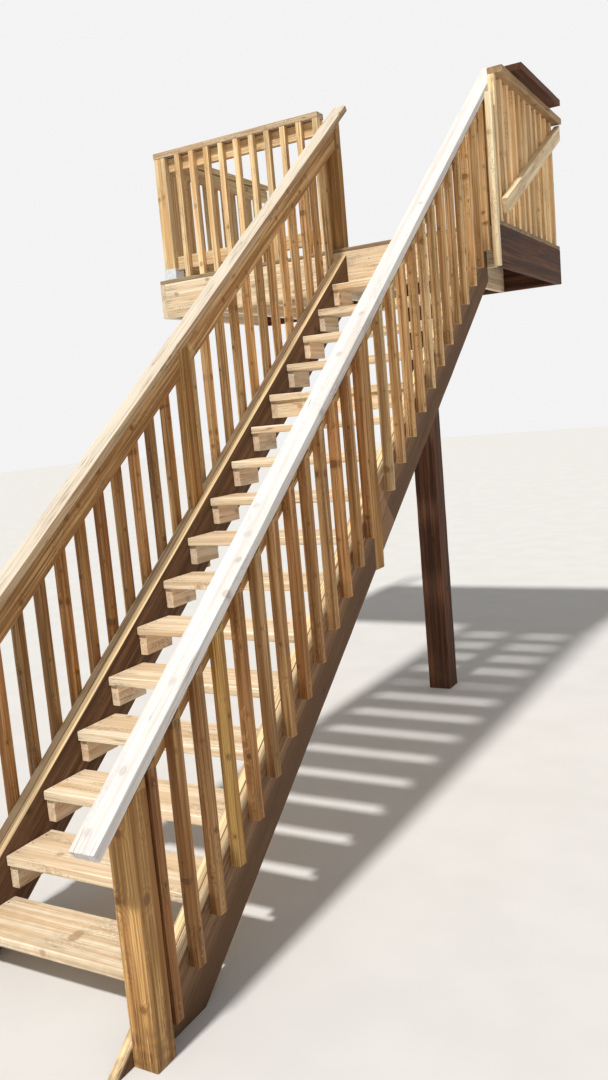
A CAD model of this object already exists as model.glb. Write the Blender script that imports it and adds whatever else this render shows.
"""Looks of the timber deck stair: every board is its own eased, slightly worn length of wood.

Units are metres, in the same frame as the construction: +Y is the way the flight climbs, +X is to
the right of it and +Z is up. The back of the landing's ledger is at y = 0.
"""
import math
import random
from types import SimpleNamespace

import bpy
from mathutils import Matrix, Vector, noise


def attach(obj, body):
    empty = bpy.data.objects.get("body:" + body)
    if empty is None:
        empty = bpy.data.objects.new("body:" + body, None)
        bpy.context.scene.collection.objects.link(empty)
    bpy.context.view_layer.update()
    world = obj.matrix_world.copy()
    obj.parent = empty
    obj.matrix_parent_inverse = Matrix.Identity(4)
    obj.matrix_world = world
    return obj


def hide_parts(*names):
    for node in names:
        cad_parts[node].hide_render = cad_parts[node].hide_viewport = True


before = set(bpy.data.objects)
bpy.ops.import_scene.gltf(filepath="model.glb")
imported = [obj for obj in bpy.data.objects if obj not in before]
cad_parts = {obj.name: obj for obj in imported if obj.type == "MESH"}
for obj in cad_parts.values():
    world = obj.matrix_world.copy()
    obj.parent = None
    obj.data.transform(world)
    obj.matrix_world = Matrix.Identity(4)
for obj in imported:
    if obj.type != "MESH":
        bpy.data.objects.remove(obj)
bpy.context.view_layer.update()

# Sizes, the same as the construction's: the flight
RISE = 0.162
RUN = 0.216
RISES = 17
LANDING_STEP = 0.245     # the last rise, up to the deck
FLIGHT_W = 0.830
NOSING = 0.019
TREAD_T = 0.038
TREAD_GAP = 0.001
STRINGER_T = 0.038
STRINGER_D = 0.235
STRINGER_UP = 0.025      # upper edge above the line of tread fronts
CLEAT_T = 0.038
CLEAT_H = 0.089
CLEAT_L = 0.180
CLEAT_SET = 0.012        # behind the tread's front
CROSS_TREAD = 12         # the tread over the cross board

# Posts, rails and balusters of the flight
POST_W = 0.089
NEWEL_SET = 0.045        # behind the foot of the line of tread fronts
MID_POST_FWD = 0.025     # from the middle between newel and top post, towards the newel
MID_POST_DROP = 0.300    # lower end below the stringer's upper edge
RAIL_H = 0.810           # top of the cap rail above the line of tread fronts
RAIL_W = 0.089
RAIL_T = 0.038
CAP_REACH = 0.150        # past the newel
CAP_TAIL = 0.110         # past the top post
BALUSTER_W = 0.038
BALUSTERS_LOW = 13       # in the bay below the middle post
BALUSTERS_HIGH = 12      # in the bay above it
BALUSTER_END = 0.030     # from the newel, and from the landing's front
MID_GAP = 0.055          # from the middle post
BALUSTER_LAP = 0.075     # lower end below the upper edge of the outer boards
BALUSTER_GAP = 0.022     # upper end below the cap rail

# Landing
LANDING_W = 2.460
LANDING_D = 1.400
JOIST_T = 0.038
JOIST_D = 0.235
JOIST_PITCH = 0.406      # at most
DECK_T = 0.025
DECK_BOARD_W = 0.140
DECK_GAP = 0.006
SUPPORT_W = 0.140
SUPPORT_X = 0.010        # its middle, from the flight's middle
SHOE_T = 0.003

# Guards of the landing
GUARD_H = 0.850          # top of their caps above the deck
GUARD_GAP = 0.088        # between balusters, at most
BOTTOM_RAIL_UP = 0.060   # above the deck
TOP_RAIL_DOWN = 0.006    # below the cap
CORNER_INSET = 0.050     # of the left guard from the landing's left side
CORNER_BALUSTER_H = 0.700
PLANK_W = 0.100
PLANK_L = 0.900
PLANK_OUT = 0.119        # outer edge beyond the landing's right side
PLANK_SET = 0.200        # behind the landing's front
BRACE_LOW = 0.045        # lower end above the deck
BRACE_HIGH = 0.103       # upper end below the guard's cap

# What follows from the sizes. _V is a height measured plumb on a raked board.
SLOPE = RISE / RUN
PITCH = math.atan(SLOPE)
COS = math.cos(PITCH)
SIN = math.sin(PITCH)
TREAD_D = RUN + NOSING
DECK_LOW = JOIST_D / 2
DECK_TOP = DECK_LOW + DECK_T
GROUND = DECK_TOP - LANDING_STEP - (RISES - 1) * RISE
RIM_Y = -LANDING_D                # the landing's front
NOSE_Y = RIM_Y - NOSING           # upper end of the line of tread fronts
FOOT_Y = NOSE_Y - RISES * RUN     # and its lower end, at ground level
INNER_X = FLIGHT_W / 2            # inner face of the right stringer
PLY_X = INNER_X + STRINGER_T      # between it and the outer boards, posts and rails
BOARD_X = PLY_X + RAIL_T          # outer face of the boards and rails
POST_X = PLY_X + POST_W
RIGHT_X = POST_X + JOIST_T        # sides of the landing
LEFT_X = RIGHT_X - LANDING_W
GUARD_X = LEFT_X + CORNER_INSET
NEWEL_Y = FOOT_Y + NEWEL_SET      # fronts of the posts
TOP_POST_Y = RIM_Y + JOIST_T
MID_POST_Y = (NEWEL_Y + TOP_POST_Y) / 2 - MID_POST_FWD
TOP_POST_BACK = TOP_POST_Y + POST_W
CAP_V = RAIL_T / COS
STRINGER_V = STRINGER_D / COS
RAIL_TOP = RAIL_H - CAP_V         # underside of the cap rail above the line of tread fronts
GUARD_UNDER = DECK_TOP + GUARD_H - RAIL_T
JOISTS = math.ceil((LANDING_W - JOIST_T) / JOIST_PITCH) - 1

X = Vector((1, 0, 0))
Y = Vector((0, 1, 0))
Z = Vector((0, 0, 1))
RAKE = Vector((0, COS, SIN))
RAKE_UP = Vector((0, -SIN, COS))


def line_z(y, up=0.0):
    """Height of the line of tread fronts at y, raised by up."""
    return GROUND + SLOPE * (y - FOOT_Y) + up


def tread_front(i):
    """Where the front of tread i is, counted from the lowest."""
    return NOSE_Y - (RISES - i) * RUN


def tread_top(i):
    """Height of the top of tread i."""
    return GROUND + i * RISE


def plumb(y):
    """A cut by the upright plane at y."""
    return (Vector((0, y, 0)), Y)


def joist_x(k):
    """Middle of landing joist k, where 0 and JOISTS + 1 are the side rims."""
    return LEFT_X + k * (LANDING_W - JOIST_T) / (JOISTS + 1) + JOIST_T / 2


def deck_rows():
    """Front and back of each deck board, from the ledger outwards."""
    pitch = DECK_BOARD_W + DECK_GAP
    for k in range(math.ceil((LANDING_D + DECK_GAP) / pitch)):
        back = -k * pitch
        yield max(RIM_Y, back - DECK_BOARD_W), back


# Boards. Every point carries its place in its board, so that the figure of the wood follows it.
# MARKS hold the places of chosen knots, and FAR_MARK, far off the board, stands for none.
MARKS = ("mark_a", "mark_b", "mark_c")
FAR_MARK = (0.0, 0.0, 9.0)
POINT_GAP = 0.03         # between points across a face, roughly
NOISE_SPREAD = 40        # takes each board to its own part of the noise
WORN_WAVES = 7           # changes of wear in a metre of arris
WORN_LEAST = 0.5         # times the arris's radius
WORN_MOST = 1.9
END_EASE = 0.7           # inset of a board's ends, times the arris's radius
END_EASE_MOST = 0.003
BEND_THROUGH = 0.6       # bend through a board, against the one across it
TWIST_SHARE = 0.5        # twist, against the bend
RIPPLE = 0.0005          # unevenness of the faces
NORMAL_WEIGHT = 80


def section(width, thick, radius, inset):
    """Points round a board's section: three on each eased arris, and more along each side."""
    half_w = width / 2 - inset
    half_t = thick / 2 - inset
    points = []
    for quarter, (sy, sz) in enumerate(((1, 1), (-1, 1), (-1, -1), (1, -1))):
        for turn in (0.0, 45.0, 90.0):
            t = math.radians(turn + 90 * quarter)
            points.append((sy * (half_w - radius) + radius * math.cos(t),
                           sz * (half_t - radius) + radius * math.sin(t)))
        on_width = quarter % 2 == 0
        count = max(1, round((width if on_width else thick) / POINT_GAP))
        for k in range(1, count):
            back = 1 - 2 * (k / count)
            if on_width:
                points.append((sy * (half_w - radius) * back, sz * half_t))
            else:
                points.append((sy * half_w, sz * (half_t - radius) * back))
    return points


def reach(base, along, cuts, default, pick):
    """How far a line from base goes along a board before it meets the cuts."""
    hits = [(point - base).dot(normal) / along.dot(normal) for point, normal in cuts]
    return pick(hits) if hits else default


class Piece:
    """The boards of one node, in one mesh, with the wood's own coordinates on every point."""

    def __init__(self, node):
        self.node = node
        self.name = "wood_" + node
        self.rand = random.Random(self.name)
        self.verts = []
        self.faces = []
        self.data = {key: [] for key in ("loc", "half", "seed", "axis", "tint", "grow", *MARKS)}

    def board(self, start, along, across, length, width, thick, starts=(), ends=(), tint=(1, 1, 1),
              ease=0.003, bow=0.0015, wear=0.35, step=0.09, marks=(), grow=(0, 0, 0)):
        """One length of wood, whose first end has its middle at start.

        starts and ends are cuts, as pairs of a point and a normal. ease is the arrises' radius, wear
        how unevenly they are worn, bow how far the board bends and step the distance between rings of
        points. marks are places of chosen knots, from the board's middle, along, across and through
        it, and grow makes each of them wider than usual.
        """
        rand = self.rand
        start = Vector(start)
        through = along.cross(across)
        seed = Vector((rand.random(), rand.random(), rand.random()))
        bend_y = rand.uniform(-bow, bow)
        bend_z = rand.uniform(-bow, bow) * BEND_THROUGH
        twist = rand.uniform(-1, 1) * bow / max(width, 0.05) * TWIST_SHARE
        phase = seed * NOISE_SPREAD
        rings = max(2, round(length / step))
        lip = min(ease * END_EASE, END_EASE_MOST)

        # Where each ring of points is: its share of the length, its shift from there, and its inset
        stations = [(0.0, 0.0, lip), (0.0, lip, 0.0)]
        stations += [(k / rings, 0.0, 0.0) for k in range(1, rings)]
        stations += [(1.0, -lip, 0.0), (1.0, 0.0, lip)]
        first = len(self.verts)
        for share, shift, inset in stations:
            unevenness = noise.noise(Vector((share * length * WORN_WAVES, 0, 0)) + phase)
            worn = min(max(1.0 + wear * unevenness * 2, WORN_LEAST), WORN_MOST)
            ring = section(width, thick, ease * worn, inset)
            for y, z in ring:
                base = start + across * y + through * z
                x0 = reach(base, along, starts, 0.0, max)
                x1 = reach(base, along, ends, length, min)
                x = x0 + (x1 - x0) * share + shift
                t = x / length
                arc = 4 * t * (1 - t)
                wy = y + bend_y * arc + RIPPLE * noise.noise(Vector((x * 3, y * 9, 1)) + phase)
                wz = z + bend_z * arc + RIPPLE * noise.noise(Vector((x * 3, y * 14, 5)) + phase)
                wy, wz = wy - wz * twist * (t - 0.5), wz + wy * twist * (t - 0.5)
                self.verts.append(start + along * x + across * wy + through * wz)
                self.data["loc"].append((x - length / 2, y, z))

        same = {
            "half": (length / 2, width / 2, thick / 2),
            "seed": tuple(seed),
            "axis": tuple(along),
            "tint": tuple(tint),
            "grow": grow,
            **dict(zip(MARKS, (*marks, FAR_MARK, FAR_MARK, FAR_MARK))),
        }
        for key, value in same.items():
            self.data[key] += [value] * (len(self.verts) - first)
        self.close(first, len(ring), len(stations))

    def close(self, first, count, rings):
        """Faces between the rings of points, and over both ends."""
        for j in range(rings - 1):
            a = first + j * count
            b = a + count
            for k in range(count):
                n = (k + 1) % count
                self.faces.append((a + k, a + n, b + n, b + k))
        last = first + (rings - 1) * count
        self.faces.append(tuple(first + k for k in reversed(range(count))))
        self.faces.append(tuple(last + k for k in range(count)))

    def make(self, slot, look=None):
        """The finished object. look names its material where that isn't the slot's own."""
        mesh = bpy.data.meshes.new(self.name)
        mesh.from_pydata([tuple(v) for v in self.verts], [], self.faces)
        for key, rows in self.data.items():
            layer = mesh.attributes.new(key, "FLOAT_VECTOR", "POINT")
            layer.data.foreach_set("vector", [c for row in rows for c in row])
        mesh.polygons.foreach_set("use_smooth", [True] * len(mesh.polygons))
        mesh.materials.append(MATERIALS[look or slot])
        mesh.update()
        piece = bpy.data.objects.new(self.name, mesh)
        bpy.context.scene.collection.objects.link(piece)
        even = piece.modifiers.new("even_normals", "WEIGHTED_NORMAL")
        even.weight = NORMAL_WEIGHT
        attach(piece, "root")
        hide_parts(self.node)


# Procedural surfaces
def rgb(r, g, b):
    """Colour as it looks on screen, turned into the linear value that a shader takes."""
    parts = (r / 255, g / 255, b / 255)
    return (*(c / 12.92 if c <= 0.04045 else ((c + 0.055) / 1.055) ** 2.4 for c in parts), 1.0)


def times(color, k):
    """Colour made k times as bright."""
    return (*(min(1.0, k * c) for c in color[:3]), 1.0)


SOIL = rgb(86, 66, 46)
SOIL_HEIGHT = 0.22
SPOTS = rgb(74, 58, 44)
SEED_SPREAD = (19.0, 7.0, 5.0)
WOOD_BUMP = 0.0016


class Nodes:
    """Short ways to write a node tree. A value may be a number, a colour or another node's socket."""

    def __init__(self, tree):
        self.tree = tree
        tree.nodes.clear()

    def put(self, socket, value):
        if isinstance(value, bpy.types.NodeSocket):
            self.tree.links.new(value, socket)
        else:
            socket.default_value = value

    def node(self, kind, inputs=None, **props):
        n = self.tree.nodes.new("ShaderNode" + kind)
        for key, value in props.items():
            setattr(n, key, value)
        for key, value in (inputs or {}).items():
            self.put(n.inputs[key], value)
        return n

    def math(self, op, a, b=0.0, clamp=False):
        return self.node("Math", {0: a, 1: b}, operation=op, use_clamp=clamp).outputs[0]

    def add(self, a, b):
        return self.math("ADD", a, b)

    def sub(self, a, b):
        return self.math("SUBTRACT", a, b)

    def mul(self, a, *others):
        for b in others:
            a = self.math("MULTIPLY", a, b)
        return a

    def about(self, field, width):
        """A field of 0 to 1, turned into a range of that width with 0 in its middle."""
        return self.mul(self.sub(field, 0.5), width)

    def vec(self, op, a, b=(0, 0, 0)):
        n = self.node("VectorMath", {0: a, 1: b}, operation=op)
        return n.outputs["Value"] if op in ("DOT_PRODUCT", "LENGTH", "DISTANCE") else n.outputs[0]

    def attr(self, name):
        return self.node("Attribute", attribute_name=name).outputs["Vector"]

    def split(self, vector):
        return self.node("SeparateXYZ", {0: vector}).outputs[:]

    def join(self, x, y, z):
        return self.node("CombineXYZ", {0: x, 1: y, 2: z}).outputs[0]

    def noise(self, place, waves=None, detail=2.0, rough=0.5, scale=1.0):
        """Noise with so many waves a metre along each axis."""
        if waves:
            place = self.vec("MULTIPLY", place, waves)
        inputs = {"Vector": place, "Scale": scale, "Detail": detail, "Roughness": rough}
        return self.node("TexNoise", inputs).outputs[0]

    def span(self, value, low, high, to_low=0.0, to_high=1.0):
        """Smooth change from to_low to to_high while value goes from low to high."""
        inputs = {"Value": value, "From Min": low, "From Max": high, "To Min": to_low, "To Max": to_high}
        return self.node("MapRange", inputs, interpolation_type="SMOOTHSTEP").outputs[0]

    def mix(self, factor, a, b, blend="MIX"):
        inputs = {0: factor, 6: a, 7: b}
        return self.node("Mix", inputs, data_type="RGBA", blend_type=blend).outputs[2]


class Shader(Nodes):
    """A material under construction."""

    def __init__(self, name):
        self.mat = bpy.data.materials.new(name)
        self.mat.use_nodes = True
        super().__init__(self.mat.node_tree)

    def finish(self, color, rough, height, distance, strength, metallic=0.0, specular=0.5):
        """The material, with height as its bump: distance in metres, weakened by strength."""
        bump = self.node("Bump", {"Height": height, "Distance": distance, "Strength": strength})
        surface = self.node("BsdfPrincipled", {
            "Base Color": color, "Roughness": rough, "Metallic": metallic,
            "Specular IOR Level": specular, "Normal": bump.outputs[0],
        })
        out = self.node("OutputMaterial", {"Surface": surface.outputs[0]})
        out.is_active_output = True
        return self.mat


# Knots stand in stretched cells, so many a metre. Along the grain the way back to metres is shorter
# than the cells, so that a knot is a quarter longer than wide.
KNOT_CELLS = (3.1, 13.0)
KNOT_BACK = (1 / 3.9, 1 / 13.0, 0.0)
KNOT_SLANT = 0.35            # sideways, on the way through the board
KNOT_SIZE = 0.012            # radius, at most
CHOSEN_KNOT_SIZE = 0.0115
RING_GAP = 0.008             # between growth rings
PITH_RANGE = (0.14, 0.10)    # across and through the board, with its middle in the range's middle
PITH_SLANT = 0.014           # of the pith, along the board


def knot_field(s, place, loc, share):
    """How far the middle of the nearest knot is, and how large that knot is: 0 where there is none.

    share is the part of the cells that hold a knot. Near a chosen knot, that one counts alone.
    """
    px, py, pz = s.split(place)
    flat_y = s.mul(s.add(py, s.mul(pz, KNOT_SLANT)), KNOT_CELLS[1])
    flat = s.join(s.mul(px, KNOT_CELLS[0]), flat_y, 0.0)
    cell = s.node("TexVoronoi", {"Vector": flat, "Scale": 1.0}, voronoi_dimensions="2D")
    offset = s.vec("MULTIPLY", s.vec("SUBTRACT", flat, cell.outputs["Position"]), KNOT_BACK)
    wobble = s.noise(place, (60, 60, 60), 1.0)
    away = s.add(s.vec("LENGTH", offset), s.about(wobble, 0.004))
    chance = s.split(cell.outputs["Color"])[0]
    size = s.span(chance, 1.0 - share, 1.0 - share * 0.6, 0.0, KNOT_SIZE)

    chosen = 1.0
    for key, wider in zip(MARKS, s.split(s.attr("grow"))):
        chosen = s.math("MINIMUM", s.sub(s.vec("DISTANCE", loc, s.attr(key)), wider), chosen)
    chosen = s.add(chosen, s.about(wobble, 0.005))
    close = s.span(chosen, 0.045, 0.060, 1.0, 0.0)
    away = s.add(away, s.mul(close, s.sub(chosen, away)))
    size = s.add(size, s.mul(close, s.sub(CHOSEN_KNOT_SIZE, size)))
    return away, size


def ring_field(s, place, loc, seed, away, size):
    """Late wood of the growth rings, and how strong each group of rings is.

    The rings go round a pith somewhere beside the board, and bend round the knots.
    """
    x, y, z = s.split(loc)
    sx, sy, sz = s.split(seed)
    pith_y = s.about(sy, PITH_RANGE[0])
    pith_z = s.add(s.about(sz, PITH_RANGE[1]), s.mul(x, PITH_SLANT))
    flow = s.about(s.noise(place, (1.3, 7, 7)), 0.035)
    dy = s.add(s.sub(y, pith_y), flow)
    dz = s.sub(z, pith_z)
    swirl = s.span(away, 0.0, s.add(s.mul(size, 3.6), 0.0005), 1.0, 0.0)
    radius = s.math("SQRT", s.add(s.mul(dy, dy), s.mul(dz, dz)))
    radius = s.add(radius, s.mul(swirl, size, 1.5))
    late = s.span(s.math("SINE", s.mul(radius, 2 * math.pi / RING_GAP)), -0.15, 1.0)
    band = s.noise(s.join(s.mul(radius, 55.0), sx, sz), detail=1.0)
    return late, s.span(band, 0.2, 0.8, 0.45, 1.0)


def crack_field(s, place, end_gap, checks):
    """Drying cracks along the grain, most of them within 16 cm of a board's end."""
    line = s.math("ABSOLUTE", s.sub(s.noise(place, (1.6, 75, 75), 1.0), 0.5))
    line = s.span(line, 0.0, 0.016, 1.0, 0.0)
    near_end = s.span(end_gap, 0.0, 0.16, 1.0, 0.0)
    where = s.add(s.noise(place, (2.3, 14, 14), 1.0), s.mul(near_end, 0.16))
    return s.mul(line, s.span(where, 0.66 - 0.18 * checks, 0.78 - 0.18 * checks))


def wood(name, light, dark, grey, top=None, knot_color=None, rings=0.6, knots=0.35, weather=0.3,
         checks=0.5, wear=0.5, contrast=0.45, shade_low=0.0, edges=0.35, stain=0.35):
    """One kind of wood, for pieces made of boards.

    light and dark are the colours of its figure, and grey is what it weathers to. top is the colour
    of faces that look up, and knot_color that of knots, where they differ from the rest. The others
    run from 0 to 1: rings is the strength of the growth rings, knots the part of the cells with a
    knot, weather the greying, checks the cracks, wear the paleness of worn arrises, contrast the dark
    streaks, shade_low the darkness of the lower part of a face, edges the dirt along arrises and
    stain the brown spots.
    """
    light, dark, grey = rgb(*light), rgb(*dark), rgb(*grey)
    darker = times(dark, 0.55)
    deep = times(dark, 0.30)
    s = Shader(name)
    loc, half, seed, tint = (s.attr(key) for key in ("loc", "half", "seed", "tint"))
    place = s.vec("ADD", loc, s.vec("MULTIPLY", seed, SEED_SPREAD))
    surface = s.node("NewGeometry")
    normal = surface.outputs["Normal"]
    point = surface.outputs["Position"]

    away, size = knot_field(s, place, loc, knots)
    knot = s.span(s.sub(away, size), -0.0012, 0.0008, 1.0, 0.0)
    late, band = ring_field(s, place, loc, seed, away, size)
    fibre = s.noise(place, (11, 330, 330), 2.0, 0.6)
    ribbon = s.noise(place, (1.7, 95, 95), 2.0, 0.6)
    streak = s.noise(place, (0.9, 30, 30), 3.0, 0.6)
    blotch = s.noise(place, (2.2, 6, 6))
    end = s.span(s.math("ABSOLUTE", s.vec("DOT_PRODUCT", normal, s.attr("axis"))), 0.55, 0.75)
    upward = s.span(s.split(normal)[2], 0.25, 0.75)

    # The nearest arris is as far as the second smallest of the distances to the board's faces
    gaps = s.split(s.vec("SUBTRACT", half, s.vec("ABSOLUTE", loc)))
    smaller = s.math("MINIMUM", gaps[1], gaps[2])
    larger = s.math("MAXIMUM", gaps[1], gaps[2])
    arris = s.math("MAXIMUM", smaller, s.math("MINIMUM", larger, gaps[0]))
    worn = s.span(s.add(arris, s.about(streak, 0.010)), 0.0, 0.006, 1.0, 0.0)
    crack = crack_field(s, place, gaps[0], checks)

    # Figure: broad streaks, rings, dark ribbons and fine fibres
    color = s.mix(s.span(streak, 0.36, 0.66), light, dark)
    color = s.mix(s.mul(late, band, rings), color, dark)
    color = s.mix(s.mul(s.span(ribbon, 0.48, 0.60), contrast), color, darker)
    if shade_low:
        height_share = s.math("DIVIDE", s.split(loc)[1], s.split(half)[1])
        lower = s.span(s.add(height_share, s.mul(streak, 0.5)), -0.10, 0.75, shade_low, 0.0)
        color = s.mix(s.mul(lower, s.span(blotch, 0.3, 0.6, 0.8, 1.0)), color, darker)
    color = s.mix(s.mul(s.span(fibre, 0.35, 0.7), 0.32), color, dark)

    # Knots, with thin rings of their own and a darker halo, and the end grain
    knot_ring = s.span(s.math("SINE", s.mul(away, 3800.0)), -1.0, 1.0, 0.55, 1.0)
    color = s.mix(s.mul(knot, knot_ring, 0.95), color, rgb(*knot_color) if knot_color else deep)
    halo = s.mul(s.span(s.sub(away, size), 0.0, 0.012, 1.0, 0.0), s.span(size, 0.0, 0.004))
    color = s.mix(s.mul(halo, 0.50), color, s.mix(0.4, dark, darker))
    color = s.mix(s.mul(end, 0.45), color, s.mix(late, grey, dark))

    # Age: greying, dirt along the arrises, spots, a pale top, worn arrises, cracks, and soil low down
    greying = s.span(s.add(blotch, s.mul(fibre, 0.35)), 0.45, 0.85)
    greying = s.mul(greying, s.add(s.mul(upward, 0.5), 0.5))
    color = s.mix(s.math("MULTIPLY", greying, weather, True), color, grey)
    edge_dirt = s.mul(s.span(arris, 0.0, 0.009, 1.0, 0.0), s.span(streak, 0.40, 0.62))
    color = s.mix(s.mul(edge_dirt, edges), color, darker)
    patch = s.noise(place, (3.5, 13, 13), 3.0, 0.6)
    speck = s.noise(place, (70, 170, 170), 2.0, 0.6)
    spots = s.mul(s.span(patch, 0.50, 0.64), s.span(speck, 0.42, 0.60))
    color = s.mix(s.mul(spots, stain), color, SPOTS)
    if top:
        color = s.mix(s.mul(upward, s.span(ribbon, 0.42, 0.66, 1.0, 0.45)), color, rgb(*top))
    color = s.mix(s.mul(worn, wear * 0.6), color, times(light, 1.25))
    color = s.mix(s.mul(crack, 0.8), color, deep)
    low = s.span(s.split(point)[2], GROUND, GROUND + SOIL_HEIGHT, 1.0, 0.0)
    soiled = s.span(s.noise(point, (22, 22, 30), 3.0), 0.3, 0.7)
    color = s.mix(s.math("MULTIPLY", s.mul(low, soiled), 0.55, True), color, SOIL)
    color = s.mix(1.0, color, tint, "MULTIPLY")

    bump = s.add(s.mul(fibre, 0.55), s.mul(late, 0.30))
    bump = s.add(s.sub(bump, s.mul(crack, 1.6)), s.mul(knot, 0.45))
    rough = s.sub(s.add(s.mul(fibre, 0.18), 0.62), s.mul(knot, 0.12))
    return s.finish(color, rough, bump, WOOD_BUMP, 0.7, specular=0.2)


def zinc(name, low, high):
    """Zinc-coated steel, with its crystals."""
    s = Shader(name)
    point = s.node("NewGeometry").outputs["Position"]
    grain = s.noise(point, (90, 90, 90), 3.0)
    crystals = s.node("TexVoronoi", {"Vector": point, "Scale": 110.0}).outputs["Color"]
    value = s.add(s.mul(s.split(crystals)[0], 0.35), s.mul(grain, 0.5))
    color = s.mix(s.span(value, 0.2, 0.8), rgb(*low), rgb(*high))
    return s.finish(color, s.span(grain, 0.2, 0.8, 0.35, 0.55), grain, 0.0003, 0.25, metallic=0.35)


# light, dark and grey of each wood, and what else differs from the usual
WOODS = {
    "tread_wood": (
        (250, 238, 212), (222, 190, 150), (214, 202, 182),
        dict(rings=0.55, weather=0.25, wear=0.7, contrast=0.34, stain=0.28, knot_color=(146, 124, 110)),
    ),
    "stringer_wood": (
        (140, 106, 78), (86, 60, 42), (120, 98, 80),
        dict(weather=0.40, contrast=0.5, top=(244, 216, 168)),
    ),
    "weathered_stringer_wood": (
        (134, 106, 82), (82, 60, 46), (118, 100, 86),
        dict(weather=0.40, contrast=0.5, top=(242, 212, 170)),
    ),
    "shaded_stringer_wood": (
        (184, 144, 106), (120, 86, 58), (130, 102, 78),
        dict(top=(246, 220, 176), shade_low=1.0),
    ),
    "cleat_wood": (
        (252, 234, 208), (220, 188, 152), (234, 216, 194),
        dict(weather=0.4, contrast=0.30),
    ),
    "framing_wood": (
        (252, 240, 214), (228, 198, 158), (220, 204, 180),
        dict(knots=0.45, weather=0.2, contrast=0.38),
    ),
    "post_wood": (
        (226, 182, 120), (156, 108, 58), (160, 138, 104),
        dict(weather=0.25, checks=0.8, contrast=0.55),
    ),
    "cap_wood": (
        (236, 216, 184), (190, 152, 112), (206, 194, 176),
        dict(weather=0.55, checks=0.9, wear=0.7, contrast=0.55, top=(216, 206, 190)),
    ),
    "bleached_wood": (
        (244, 242, 238), (214, 205, 198), (226, 222, 222),
        dict(rings=0.30, knots=0.30, weather=0.55, checks=0.35, contrast=0.20, edges=0.12, stain=0.18,
             knot_color=(178, 160, 146)),
    ),
    "baluster_wood": (
        (244, 210, 158), (184, 138, 88), (190, 164, 130),
        dict(knots=0.85, weather=0.2, contrast=0.80, knot_color=(58, 34, 20)),
    ),
    "guard_wood": (
        (252, 230, 188), (214, 172, 118), (206, 184, 148),
        dict(knots=0.65, weather=0.2, contrast=0.50),
    ),
    "stained_wood": (
        (116, 74, 50), (58, 34, 22), (84, 60, 44),
        dict(rings=0.4, knots=0.2),
    ),
    "deck_wood": (
        (196, 168, 128), (134, 102, 70), (156, 142, 122),
        dict(weather=0.55),
    ),
}
MATERIALS = {
    name: wood(name, light, dark, grey, **more)
    for name, (light, dark, grey, more) in WOODS.items()
}
ZINC = zinc("zinc_steel", (214, 217, 220), (240, 241, 242))
NAIL_STEEL = zinc("nail_steel", (120, 110, 100), (160, 152, 144))


def tone(rand, spread=0.12, warm=0.04):
    """Small change of lightness and warmth from one board to the next."""
    k = 1.0 + rand.uniform(-spread, spread)
    w = rand.uniform(-warm, warm)
    return (k * (1 + w), k, k * (1 - w))


def tinted(a, b):
    """Two tints in one."""
    return tuple(p * q for p, q in zip(a, b))


# The flight: treads
FIRST_TREAD_KNOTS = {
    "marks": ((0.006, -0.024, TREAD_T / 2), (0.003, -0.002, TREAD_T / 2), (-0.05, -TREAD_D / 2, 0.004)),
    "grow": (0.009, 0.007, 0),
}
depth = TREAD_D - TREAD_GAP
for i in range(1, RISES):
    piece = Piece(f"tread_{i:02d}")
    start = (-INNER_X + TREAD_GAP, tread_front(i) + depth / 2, tread_top(i) - TREAD_T / 2)
    piece.board(start, X, Y, FLIGHT_W - 2 * TREAD_GAP, depth, TREAD_T, tint=tone(piece.rand, 0.07, 0.03),
                ease=0.005, wear=0.6, step=0.04, **(FIRST_TREAD_KNOTS if i == 1 else {}))
    piece.make("tread_wood")

# Cuts by planes: at ground level, under the deck boards, under the cap rails, and at balusters' heads
GROUND_CUT = (Vector((0, 0, GROUND)), Z)
DECK_CUT = (Vector((0, 0, DECK_LOW)), Z)
CAP_CUT = (Vector((0, NEWEL_Y, line_z(NEWEL_Y, RAIL_TOP))), RAKE_UP)
BALUSTER_CUT = (Vector((0, NEWEL_Y, line_z(NEWEL_Y, RAIL_TOP - BALUSTER_GAP))), RAKE_UP)

# Chosen knots of the caps, the rail boards and the newels
CAP_KNOTS = {
    "left": ((-1.24, 0.020, RAIL_T / 2), (-0.07, -0.005, RAIL_T / 2), (0.80, 0.025, RAIL_T / 2)),
    "right": ((-2.46, 0.012, RAIL_T / 2), (-1.46, -0.022, RAIL_T / 2), (-1.20, 0.018, RAIL_T / 2)),
}
RAIL_KNOTS = ((0.07, 0.022, RAIL_T / 2), (-0.42, -0.016, RAIL_T / 2), (0.56, 0.024, RAIL_T / 2))
NEWEL_KNOTS = ((0.305, -POST_W / 2, 0.002), (-0.221, -POST_W / 2, -0.016))

# A bay runs from one post at low to the next at high. Its balusters begin first after the one, and
# end last after the other. light tints them, and rail_light the bay's rail board.
BAYS = (
    SimpleNamespace(
        low=NEWEL_Y + POST_W, high=MID_POST_Y, first=BALUSTER_END, last=-MID_GAP,
        count=BALUSTERS_LOW, light=(0.74, 0.62, 0.52), rail_light=(0.86, 0.78, 0.70),
    ),
    SimpleNamespace(
        low=MID_POST_Y + POST_W, high=TOP_POST_Y, first=MID_GAP, last=RIM_Y - TOP_POST_Y - BALUSTER_END,
        count=BALUSTERS_HIGH, light=(1.14, 1.14, 1.14), rail_light=(1.02, 1.01, 0.99),
    ),
)

# Balusters that stand out, by their number from the newel: dark ones beside it, and a yellow one
ODD_BALUSTERS = {
    ("left", 0): (0.72, 0.62, 0.56),
    ("right", 0): (0.72, 0.62, 0.56),
    ("right", 3): (1.30, 1.42, 1.15),
}
KNOT_BANDS = (-0.36, -0.12, 0.12)
KNOT_BAND_L = 0.22
knot_rand = random.Random("baluster_knots")


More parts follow.
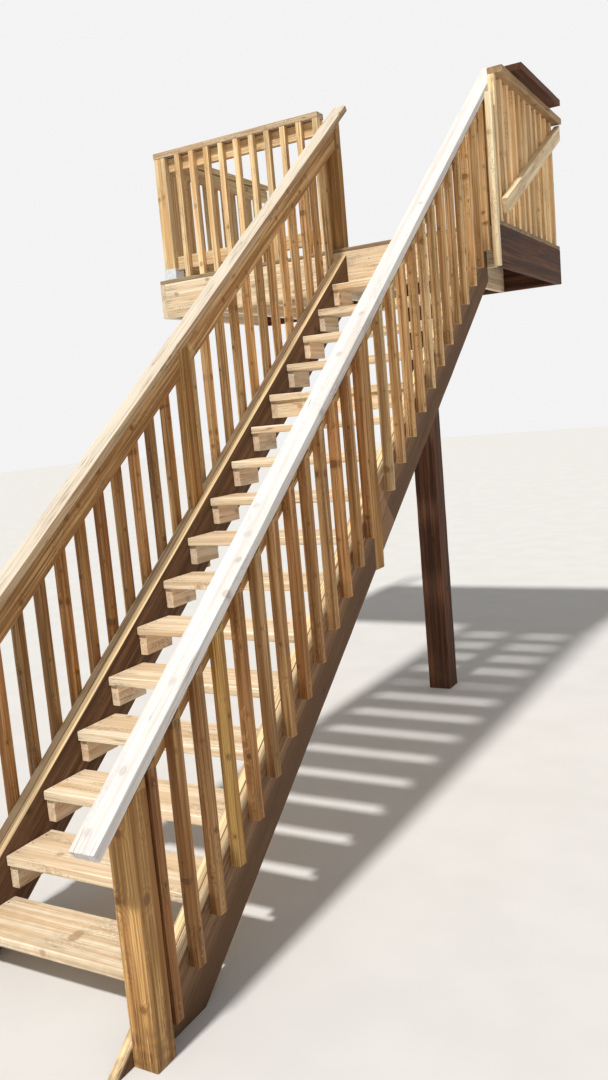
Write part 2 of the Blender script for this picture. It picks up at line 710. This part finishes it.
def raked(piece, x, y0, y1, top_up, width, thick, starts, ends, **more):
    """Board on edge along the slope: its upper edge is top_up above the line of tread fronts."""
    begin = Vector((x, y0, line_z(y0, top_up))) - RAKE_UP * (width / 2)
    piece.board(begin, RAKE, RAKE_UP, (y1 - y0) / COS, width, thick, starts, ends, **more)


def baluster_places(bay):
    """The near side of each baluster in a bay."""
    pitch = (bay.high + bay.last - bay.low - bay.first - BALUSTER_W) / (bay.count - 1)
    return [bay.low + bay.first + k * pitch for k in range(bay.count)]


def baluster_knots():
    """Small knots of a baluster: on its side, on its front and on the arris between, and their growth."""
    face = BALUSTER_W / 2
    along = [knot_rand.uniform(low, low + KNOT_BAND_L) for low in KNOT_BANDS]
    knot_rand.shuffle(along)
    spread = knot_rand.uniform(-0.012, 0.012)
    knots = ((along[0], spread, -face), (along[1], -face, spread), (along[2], -face, -face))
    return knots, tuple(knot_rand.uniform(-0.008, -0.002) for _ in range(3))


# The flight: stringers, outer boards, cleats, cap rails and balustrades of each side
for side, sx in (("left", -1), ("right", 1)):
    piece = Piece(side + "_stringer")
    raked(piece, sx * (INNER_X + STRINGER_T / 2), FOOT_Y - STRINGER_V, RIM_Y, STRINGER_UP, STRINGER_D,
          STRINGER_T, (GROUND_CUT,), (plumb(RIM_Y), DECK_CUT), ease=0.004)
    piece.make("stringer_wood")

    piece = Piece(side + "_outer_boards")
    rail_x = sx * (PLY_X + RAIL_T / 2)
    for y0, y1, starts, ends in (
            (NEWEL_Y, MID_POST_Y, (plumb(NEWEL_Y + POST_W), GROUND_CUT), (plumb(MID_POST_Y),)),
            (MID_POST_Y + POST_W, RIM_Y, (plumb(MID_POST_Y + POST_W),), (plumb(RIM_Y), DECK_CUT))):
        raked(piece, rail_x, y0, y1, STRINGER_UP, STRINGER_D, RAIL_T, starts, ends, ease=0.004,
              tint=tone(piece.rand, 0.04))
    if side == "left":
        piece.make("stringer_wood", "weathered_stringer_wood")
    else:
        piece.make("shaded_stringer_wood")

    piece = Piece(side + "_cleats")
    for i in range(1, RISES):
        under = tread_top(i) - TREAD_T
        start = (sx * (INNER_X - CLEAT_T / 2), tread_front(i) + CLEAT_SET, under - CLEAT_H / 2)
        piece.board(start, Y, Z, CLEAT_L, CLEAT_H, CLEAT_T, tint=tone(piece.rand, 0.12))
    piece.make("cleat_wood")

    piece = Piece(side + "_cap_rail")
    y0 = NEWEL_Y - CAP_REACH
    begin = Vector((sx * (PLY_X + RAIL_W / 2), y0, line_z(y0, RAIL_H))) - RAKE_UP * (RAIL_T / 2)
    piece.board(begin, RAKE, -X, (TOP_POST_BACK + CAP_TAIL - y0) / COS, RAIL_W, RAIL_T, ease=0.004,
                bow=0.003, wear=0.5, marks=CAP_KNOTS[side])
    piece.make("cap_wood" if side == "left" else "bleached_wood")

    piece = Piece(side + "_balustrade")
    number = 0
    for bay in BAYS:
        rail_tint = tinted(tone(piece.rand, 0.08), bay.rail_light)
        raked(piece, rail_x, bay.low, bay.high, RAIL_TOP, RAIL_W, RAIL_T, (plumb(bay.low),),
              (plumb(bay.high),), tint=rail_tint, marks=RAIL_KNOTS)
        for y in baluster_places(bay):
            z0 = line_z(y, STRINGER_UP - BALUSTER_LAP)
            tall = line_z(y, RAIL_TOP - BALUSTER_GAP) - z0
            shade = tone(piece.rand, 0.26, 0.08)
            shade = tinted(ODD_BALUSTERS.get((side, number), shade), bay.light)
            knots, wider = baluster_knots()
            start = (sx * (BOARD_X + BALUSTER_W / 2), y + BALUSTER_W / 2, z0)
            piece.board(start, Z, Y, tall, BALUSTER_W, BALUSTER_W, (), (BALUSTER_CUT,), tint=shade,
                        ease=0.002, bow=0.002, marks=knots, grow=wider)
            number += 1
    piece.make("baluster_wood")

piece = Piece("cross_board")
start = (-INNER_X + CLEAT_T, tread_front(CROSS_TREAD) + CLEAT_SET + RAIL_T / 2,
         tread_top(CROSS_TREAD) - TREAD_T - CLEAT_H / 2)
piece.board(start, X, Z, FLIGHT_W - 2 * CLEAT_T, CLEAT_H, RAIL_T)
piece.make("framing_wood")

# The flight: posts
for node, y0, z0, thick, knots in (
        ("newel_posts", NEWEL_Y, GROUND, POST_W, NEWEL_KNOTS),
        ("middle_posts", MID_POST_Y, line_z(MID_POST_Y, STRINGER_UP - MID_POST_DROP), RAIL_T, ()),
        ("top_posts", TOP_POST_Y, DECK_TOP, POST_W, ())):
    piece = Piece(node)
    tall = line_z(y0 + POST_W / 2, RAIL_TOP) - z0
    for sx in (-1, 1):
        piece.board((sx * (PLY_X + thick / 2), y0 + POST_W / 2, z0), Z, Y, tall, POST_W, thick, (),
                    (CAP_CUT,), tint=tone(piece.rand, 0.06), ease=0.004, wear=0.5, marks=knots)
    piece.make("post_wood")

# The landing: rims, ledger, joists and deck boards
inside_w = LANDING_W - 2 * JOIST_T
for node, start, along, length, slot in (
        ("front_rim", (LEFT_X + JOIST_T, RIM_Y + JOIST_T / 2, 0), X, inside_w, "framing_wood"),
        ("left_rim", (LEFT_X + JOIST_T / 2, RIM_Y, 0), Y, LANDING_D, "framing_wood"),
        ("right_rim", (RIGHT_X - JOIST_T / 2, RIM_Y, 0), Y, LANDING_D, "stained_wood"),
        ("ledger", (LEFT_X + JOIST_T, -JOIST_T / 2, 0), X, inside_w, "stained_wood")):
    piece = Piece(node)
    piece.board(start, along, Z, length, JOIST_D, JOIST_T)
    piece.make(slot)

piece = Piece("landing_joists")
for k in range(1, JOISTS + 1):
    piece.board((joist_x(k), RIM_Y + JOIST_T, 0), Y, Z, LANDING_D - 2 * JOIST_T, JOIST_D, JOIST_T,
                tint=tone(piece.rand))
piece.make("framing_wood")

piece = Piece("deck_boards")
for front, back in deck_rows():
    piece.board((LEFT_X, (front + back) / 2, DECK_LOW + DECK_T / 2), X, Y, LANDING_W, back - front,
                DECK_T, tint=tone(piece.rand, 0.10), ease=0.004)
piece.make("deck_wood")


# The landing: guards
def guard_panel(piece, origin, along, inward, length, rail_from=0.0, lead=1.0, light=(1.0, 1.0, 1.0)):
    """Balusters in front of an upper and a lower rail board, along a side of the landing.

    The rail boards begin at rail_from, and the first baluster at the lead's share of a gap.
    """
    origin = Vector(origin)
    count = math.ceil(length / (GUARD_GAP + BALUSTER_W))
    pitch = length / count
    for z in (BOTTOM_RAIL_UP, GUARD_H - RAIL_T - TOP_RAIL_DOWN - RAIL_W):
        begin = origin + along * rail_from + inward * (BALUSTER_W + RAIL_T / 2) + Z * (z + RAIL_W / 2)
        piece.board(begin, along, Z, length - rail_from, RAIL_W, RAIL_T, tint=tone(piece.rand, 0.08))
    for k in range(count):
        at = lead * (pitch - BALUSTER_W) + k * pitch
        begin = origin + along * (at + BALUSTER_W / 2) + inward * (BALUSTER_W / 2)
        shade = tinted(tone(piece.rand, 0.14, 0.05), light)
        piece.board(begin, Z, along, GUARD_H - RAIL_T, BALUSTER_W, BALUSTER_W, tint=shade, ease=0.002,
                    bow=0.002)


cap_middle = GUARD_UNDER + RAIL_T / 2
piece = Piece("corner_baluster")
start = (RIGHT_X - BALUSTER_W / 2, RIM_Y - BALUSTER_W / 2, -JOIST_D / 2)
piece.board(start, Z, X, JOIST_D / 2 + DECK_TOP + CORNER_BALUSTER_H, BALUSTER_W, BALUSTER_W,
            tint=(1.14, 1.17, 1.10), ease=0.002)
piece.make("guard_wood", "framing_wood")

piece = Piece("corner_post")
start = (GUARD_X + SHOE_T + POST_W / 2, RIM_Y + SHOE_T + POST_W / 2, DECK_TOP + SHOE_T)
piece.board(start, Z, X, GUARD_H - RAIL_T - SHOE_T, POST_W, POST_W, ease=0.004)
piece.make("post_wood", "guard_wood")

piece = Piece("front_guard_cap")
piece.board((GUARD_X, RIM_Y + RAIL_W / 2, cap_middle), X, Y, -POST_X - GUARD_X, RAIL_W, RAIL_T)
piece.make("cap_wood")

piece = Piece("front_guard")
x0 = GUARD_X + POST_W + 2 * SHOE_T
guard_panel(piece, (x0, RIM_Y, DECK_TOP), X, Y, -POST_X - x0)
piece.make("guard_wood")

piece = Piece("left_guard")
y0 = RIM_Y + POST_W + 2 * SHOE_T
guard_panel(piece, (GUARD_X, 0, DECK_TOP), -Y, X, -y0)
piece.board((GUARD_X + RAIL_W / 2, RIM_Y + RAIL_W, cap_middle), Y, -X, -RIM_Y - RAIL_W, RAIL_W, RAIL_T)
piece.make("guard_wood")

piece = Piece("right_guard")
guard_panel(piece, (RIGHT_X, TOP_POST_Y, DECK_TOP), Y, -X, -TOP_POST_Y, rail_from=POST_W + RAIL_T,
            lead=0.0, light=(1.28, 1.28, 1.30))
piece.board((RIGHT_X - BALUSTER_W + RAIL_W / 2, TOP_POST_Y, cap_middle), Y, -X, -TOP_POST_Y, RAIL_W,
            RAIL_T, tint=(0.55, 0.48, 0.45))
piece.make("guard_wood")

piece = Piece("right_guard_plank")
start = (RIGHT_X + PLANK_OUT - PLANK_W / 2, RIM_Y + PLANK_SET, DECK_TOP + GUARD_H + RAIL_T / 2)
piece.board(start, Y, -X, PLANK_L, PLANK_W, RAIL_T)
piece.make("stained_wood")

piece = Piece("diagonal_brace")
y0 = RIM_Y + RAIL_W
z0 = DECK_TOP + BRACE_LOW
angle = math.atan((GUARD_UNDER - BRACE_HIGH - z0) / -y0)
lean = Vector((0, math.cos(angle), math.sin(angle)))
lean_up = Vector((0, -math.sin(angle), math.cos(angle)))
begin = Vector((RIGHT_X + RAIL_T / 2, y0, z0)) + lean_up * (RAIL_W / 2)
piece.board(begin, lean, lean_up, -y0 / math.cos(angle), RAIL_W, RAIL_T, (), (plumb(0.0),),
            tint=(1.06, 1.03, 0.95))
piece.make("post_wood", "framing_wood")

piece = Piece("support_post")
piece.board((SUPPORT_X, RIM_Y + SUPPORT_W / 2, GROUND), Z, X, -JOIST_D / 2 - GROUND, SUPPORT_W,
            SUPPORT_W, ease=0.005)
piece.make("stained_wood")

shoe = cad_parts["post_shoe"]
shoe.data.materials.clear()
shoe.data.materials.append(ZINC)

# Nails: heights above the line of tread fronts, shares of a board's width, and places on the rim
BALUSTER_NAILS = (STRINGER_UP - 0.030, STRINGER_UP - 0.058, RAIL_TOP - 0.045, RAIL_TOP - 0.080)
TREAD_NAILS = (0.18, 0.50, 0.80)
DECK_NAILS = (0.22, 0.78)
RIM_NAILS = 4
RIM_NAIL_FROM = 0.1
RIM_NAIL_PITCH = 0.75
RIM_NAIL_UP = (0.05, 0.02)
HEAD_RADIUS = 0.0038
HEAD_PROUD = 0.0010
HEAD_SUNK = 0.0010
HEAD_SIDES = 10
HEAD_STRAY = 0.003


class Nails:
    """Low domed heads, all in one mesh."""

    def __init__(self):
        self.verts = []
        self.faces = []
        self.rand = random.Random("nail_heads")

    def head(self, point, normal):
        side = normal.orthogonal().normalized()
        other = normal.cross(side)
        stray_a = self.rand.uniform(-HEAD_STRAY, HEAD_STRAY)
        stray_b = self.rand.uniform(-HEAD_STRAY, HEAD_STRAY)
        point = Vector(point) + side * stray_a + other * stray_b
        first = len(self.verts)
        for size, lift in ((1.0, -HEAD_SUNK), (1.0, HEAD_PROUD * 0.5), (0.65, HEAD_PROUD)):
            for k in range(HEAD_SIDES):
                a = 2 * math.pi * k / HEAD_SIDES
                out = (side * math.cos(a) + other * math.sin(a)) * HEAD_RADIUS * size
                self.verts.append(point + out + normal * lift)
        for ring in (0, 1):
            a = first + ring * HEAD_SIDES
            b = a + HEAD_SIDES
            for k in range(HEAD_SIDES):
                n = (k + 1) % HEAD_SIDES
                self.faces.append((a + k, a + n, b + n, b + k))
        self.faces.append(tuple(first + 2 * HEAD_SIDES + k for k in range(HEAD_SIDES)))
        self.faces.append(tuple(first + k for k in reversed(range(HEAD_SIDES))))

    def make(self):
        mesh = bpy.data.meshes.new("nail_heads")
        mesh.from_pydata([tuple(v) for v in self.verts], [], self.faces)
        mesh.materials.append(NAIL_STEEL)
        piece = bpy.data.objects.new("nail_heads", mesh)
        bpy.context.scene.collection.objects.link(piece)
        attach(piece, "root")


nails = Nails()
for sx in (-1, 1):
    for bay in BAYS:
        for near_side in baluster_places(bay):
            y = near_side + BALUSTER_W / 2
            for up in BALUSTER_NAILS:
                nails.head((sx * (BOARD_X + BALUSTER_W), y, line_z(y, up)), X * sx)
for i in range(1, RISES):
    for sx in (-1, 1):
        for f in TREAD_NAILS:
            nails.head((sx * (INNER_X - CLEAT_T / 2), tread_front(i) + f * TREAD_D, tread_top(i)), Z)
for front, back in deck_rows():
    for k in range(JOISTS + 2):
        for f in DECK_NAILS:
            nails.head((joist_x(k), front + f * (back - front), DECK_TOP), Z)
for k in range(RIM_NAILS):
    x = LEFT_X + JOIST_T / 2 + k * RIM_NAIL_PITCH + RIM_NAIL_FROM
    nails.head((x, RIM_Y, RIM_NAIL_UP[k % 2]), -Y)
nails.make()

# Floor
FLOOR_REACH = 40
corners = [(sx * FLOOR_REACH, sy * FLOOR_REACH, GROUND) for sx, sy in ((-1, -1), (1, -1), (1, 1), (-1, 1))]
floor_mesh = bpy.data.meshes.new("floor")
floor_mesh.from_pydata(corners, [], [(0, 1, 2, 3)])
floor = bpy.data.objects.new("floor", floor_mesh)
bpy.context.scene.collection.objects.link(floor)
paint = Shader("floor_paint")
clouds = paint.noise(paint.node("NewGeometry").outputs["Position"], detail=4.0, scale=3.0)
color = paint.mix(paint.span(clouds, 0.3, 0.7), rgb(215, 214, 213), rgb(219, 218, 217))
floor_mesh.materials.append(paint.finish(color, 0.9, clouds, 0.001, 0.1, specular=0.1))

# Light: a soft fill from all round, a pale backdrop for the camera and for gloss, and one sun
FILL_COLOR = (1.0, 0.985, 0.96, 1)
FILL_STRENGTH = 0.39
BACKDROP = (0.90, 0.90, 0.90, 1)
SUN_COLOR = (1.0, 0.97, 0.92)
SUN_STRENGTH = 3.3
SUN_ANGLE = math.radians(4)
SUN_WAY = Vector((0.05, 1.0, -1.54))

world = bpy.data.worlds.new("studio")
bpy.context.scene.world = world
world.use_nodes = True
around = Nodes(world.node_tree)
fill = around.node("Background", {0: FILL_COLOR, 1: FILL_STRENGTH})
backdrop = around.node("Background", {0: BACKDROP, 1: 1.0})
path = around.node("LightPath")
seen = around.math("MAXIMUM", path.outputs["Is Camera Ray"], path.outputs["Is Glossy Ray"])
mixed = around.node("MixShader", {0: seen, 1: fill.outputs[0], 2: backdrop.outputs[0]})
around.node("OutputWorld", {0: mixed.outputs[0]})

sun_data = bpy.data.lights.new("key", "SUN")
sun_data.energy = SUN_STRENGTH
sun_data.angle = SUN_ANGLE
sun_data.color = SUN_COLOR
sun = bpy.data.objects.new("key", sun_data)
sun.rotation_euler = SUN_WAY.to_track_quat("-Z", "Y").to_euler()
bpy.context.scene.collection.objects.link(sun)

# Camera, measured from where the line of tread fronts ends at ground level, on the flight's left side
VIEW_AZ = math.radians(29.59)
VIEW_PITCH = math.radians(-7.56)
VIEW_ROLL = math.radians(-5.02)
CAMERA_AT = Vector((2.6504 - INNER_X, -1.8301 + FOOT_Y, 1.8236 + GROUND))
FOCAL_PX = 942.2
IMAGE_H = 1080
SENSOR = 36
VIEW_FAR = 200

ahead = Vector((-math.sin(VIEW_AZ) * math.cos(VIEW_PITCH), math.cos(VIEW_AZ) * math.cos(VIEW_PITCH),
                math.sin(VIEW_PITCH)))
level = Vector((math.cos(VIEW_AZ), math.sin(VIEW_AZ), 0))
upright = level.cross(ahead)
right = level * math.cos(VIEW_ROLL) + upright * math.sin(VIEW_ROLL)
up = upright * math.cos(VIEW_ROLL) - level * math.sin(VIEW_ROLL)
cam_data = bpy.data.cameras.new("camera")
cam_data.sensor_width = SENSOR
cam_data.lens = FOCAL_PX / IMAGE_H * SENSOR
cam_data.clip_end = VIEW_FAR
cam = bpy.data.objects.new("camera", cam_data)
cam.matrix_world = Matrix.Translation(CAMERA_AT) @ Matrix((right, up, -ahead)).transposed().to_4x4()
bpy.context.scene.collection.objects.link(cam)
bpy.context.scene.camera = cam
bpy.context.scene.view_settings.view_transform = "Standard"
